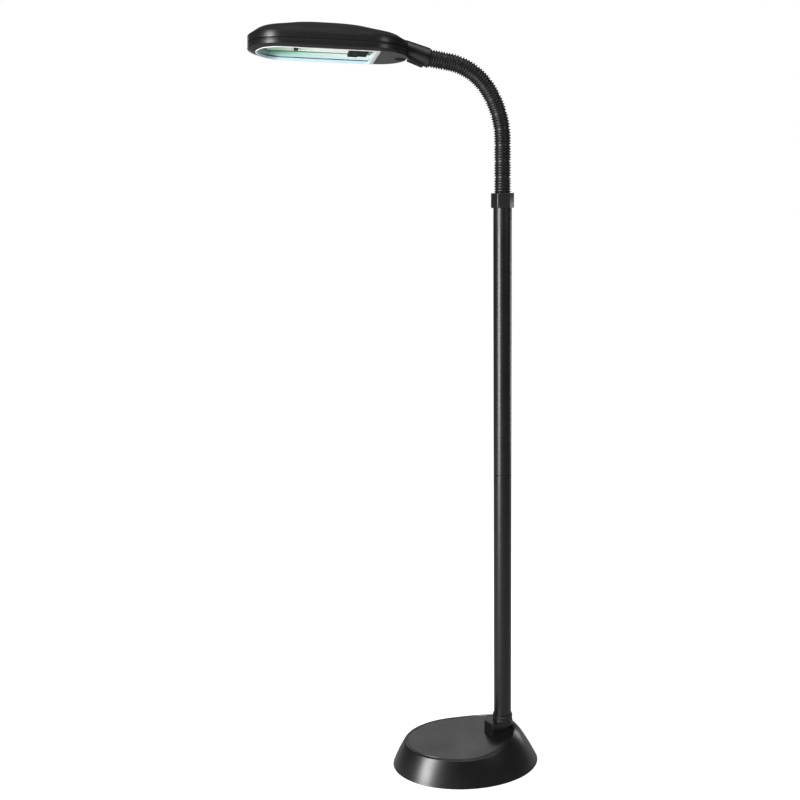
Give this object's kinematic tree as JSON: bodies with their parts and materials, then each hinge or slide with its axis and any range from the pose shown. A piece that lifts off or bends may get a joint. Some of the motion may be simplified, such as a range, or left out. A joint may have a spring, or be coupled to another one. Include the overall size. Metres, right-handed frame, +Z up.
{
  "type": "task floor lamp",
  "caption": "Black task floor lamp: weighted oval base, straight pole, ribbed flexible neck and a flat paddle-shaped head with a lens under it and a rocker switch.",
  "frame": {"origin": "on the floor under the pole, at the middle of the central rubber foot", "axes": "+Z up along the pole, +X to the toe of the base and the tip of the head"},
  "size_m": [0.5661, 0.236, 1.5342],
  "materials": {
    "base_plastic": "satin moulded, fine spark texture",
    "head_plastic": "satin moulded",
    "pole_coat": "satin black powder coat",
    "collar_plastic": "satin moulded",
    "sleeve_vinyl": "soft satin, ribbed",
    "core_metal": "turned",
    "weight_iron": "as cast",
    "plate_steel": "black paint",
    "fastener_steel": "zinc plated",
    "foot_rubber": "matt",
    "flex_vinyl": "matt",
    "plug_nylon": "moulded",
    "frame_white": "gloss moulded",
    "lens_clear": "clear acrylic",
    "reflector_white": "gloss white",
    "tube_phosphor": "white phosphor",
    "holder_black": "moulded",
    "board_green": "laminate",
    "ballast_dark": "wound and wrapped",
    "switch_black": "gloss moulded"
  },
  "bodies": {
    "stand": {"base_shell": "base_plastic", "base_weight": "weight_iron", "weight_bolts": "fastener_steel", "base_plate": "plate_steel", "base_screws": "fastener_steel", "base_feet": "foot_rubber", "cord_grommet": "foot_rubber", "pole_stud": "fastener_steel", "pole_washer": "fastener_steel", "pole_nut": "fastener_steel", "pole_foot_plug": "plug_nylon", "pole_foot_ferrule": "collar_plastic", "pole_lower_tube": "pole_coat", "pole_coupler": "fastener_steel", "pole_upper_tube": "pole_coat", "pole_top_plug": "plug_nylon", "pole_top_collar": "collar_plastic", "supply_flex": "flex_vinyl", "neck_sleeve_01": "sleeve_vinyl", "neck_core_01": "core_metal"},
    "neck_link_02": {"neck_sleeve_02": "sleeve_vinyl", "neck_core_02": "core_metal"},
    "neck_link_03": {"neck_sleeve_03": "sleeve_vinyl", "neck_core_03": "core_metal"},
    "neck_link_04": {"neck_sleeve_04": "sleeve_vinyl", "neck_core_04": "core_metal"},
    "neck_link_05": {"neck_sleeve_05": "sleeve_vinyl", "neck_core_05": "core_metal"},
    "neck_link_06": {"neck_sleeve_06": "sleeve_vinyl", "neck_core_06": "core_metal"},
    "neck_link_07": {"neck_sleeve_07": "sleeve_vinyl", "neck_core_07": "core_metal"},
    "neck_link_08": {"neck_sleeve_08": "sleeve_vinyl", "neck_core_08": "core_metal"},
    "neck_link_09": {"neck_sleeve_09": "sleeve_vinyl", "neck_core_09": "core_metal"},
    "neck_link_10": {"neck_sleeve_10": "sleeve_vinyl", "neck_core_10": "core_metal"},
    "head": {"neck_sleeve_11": "sleeve_vinyl", "neck_core_11": "core_metal", "head_top_shell": "head_plastic", "head_lower_shell": "head_plastic", "head_screws": "fastener_steel", "neck_clamp": "fastener_steel", "clamp_screw": "fastener_steel", "lens_frame": "frame_white", "lens": "lens_clear", "reflector": "reflector_white", "lamp_tubes": "tube_phosphor", "lamp_base": "holder_black", "lamp_holder": "holder_black", "tube_clip": "holder_black", "ballast_board": "board_green", "ballast_parts": "ballast_dark", "switch_body": "switch_black"},
    "rocker": {"switch_rocker": "switch_black"}
  },
  "joints": [
    {"name": "neck_bend", "type": "hinge", "parent": "stand", "child": "neck_link_02", "pos_m": [0, 0, 1.24632], "axis": [0, 1, 0], "range_deg": [-12, 11]},
    {"name": "neck_sway", "type": "hinge", "parent": "neck_link_02", "child": "neck_link_03", "pos_m": [0, 0, 1.27714], "axis": [1, 0, 0], "range_deg": [-11, 11]},
    {"name": "neck_bend_2", "type": "hinge", "parent": "neck_link_03", "child": "neck_link_04", "pos_m": [0, 0, 1.30795], "axis": [0, 1, 0], "range_deg": [-12, 11]},
    {"name": "neck_sway_2", "type": "hinge", "parent": "neck_link_04", "child": "neck_link_05", "pos_m": [0.0014, 0, 1.33871], "axis": [0.9921, 0, -0.1254], "range_deg": [-11, 11]},
    {"name": "neck_bend_3", "type": "hinge", "parent": "neck_link_05", "child": "neck_link_06", "pos_m": [0.0079, 0, 1.3688], "axis": [0, 1, 0], "range_deg": [-12, 11]},
    {"name": "neck_bend_4", "type": "hinge", "parent": "neck_link_06", "child": "neck_link_07", "pos_m": [0.0195, 0, 1.39731], "axis": [0, 1, 0], "range_deg": [-12, 11]},
    {"name": "neck_sway_3", "type": "hinge", "parent": "neck_link_07", "child": "neck_link_08", "pos_m": [0.03599, 0, 1.42328], "axis": [0.7794, 0, -0.6266], "range_deg": [-11, 11]},
    {"name": "neck_bend_5", "type": "hinge", "parent": "neck_link_08", "child": "neck_link_09", "pos_m": [0.05822, 0, 1.4445], "axis": [0, 1, 0], "range_deg": [-12, 11]},
    {"name": "neck_sway_4", "type": "hinge", "parent": "neck_link_09", "child": "neck_link_10", "pos_m": [0.0852, 0, 1.45921], "axis": [0.3596, 0, -0.9331], "range_deg": [-11, 11]},
    {"name": "neck_bend_6", "type": "hinge", "parent": "neck_link_10", "child": "head", "pos_m": [0.11502, 0, 1.46677], "axis": [0, 1, 0], "range_deg": [-12, 11]},
    {"name": "switch_rock", "type": "hinge", "parent": "head", "child": "rocker", "pos_m": [0.20065, -0.00009, 1.47324], "axis": [0.0016, -0.9994, -0.0349], "range_deg": [0, 18]}
  ],
  "couplings": [
    {"joint": "neck_bend_2", "follows": "neck_bend", "ratio": 1},
    {"joint": "neck_sway_2", "follows": "neck_sway", "ratio": 1},
    {"joint": "neck_bend_3", "follows": "neck_bend", "ratio": 1},
    {"joint": "neck_bend_4", "follows": "neck_bend", "ratio": 1},
    {"joint": "neck_sway_3", "follows": "neck_sway", "ratio": 1},
    {"joint": "neck_bend_5", "follows": "neck_bend", "ratio": 1},
    {"joint": "neck_sway_4", "follows": "neck_sway", "ratio": 1},
    {"joint": "neck_bend_6", "follows": "neck_bend", "ratio": 1}
  ]
}
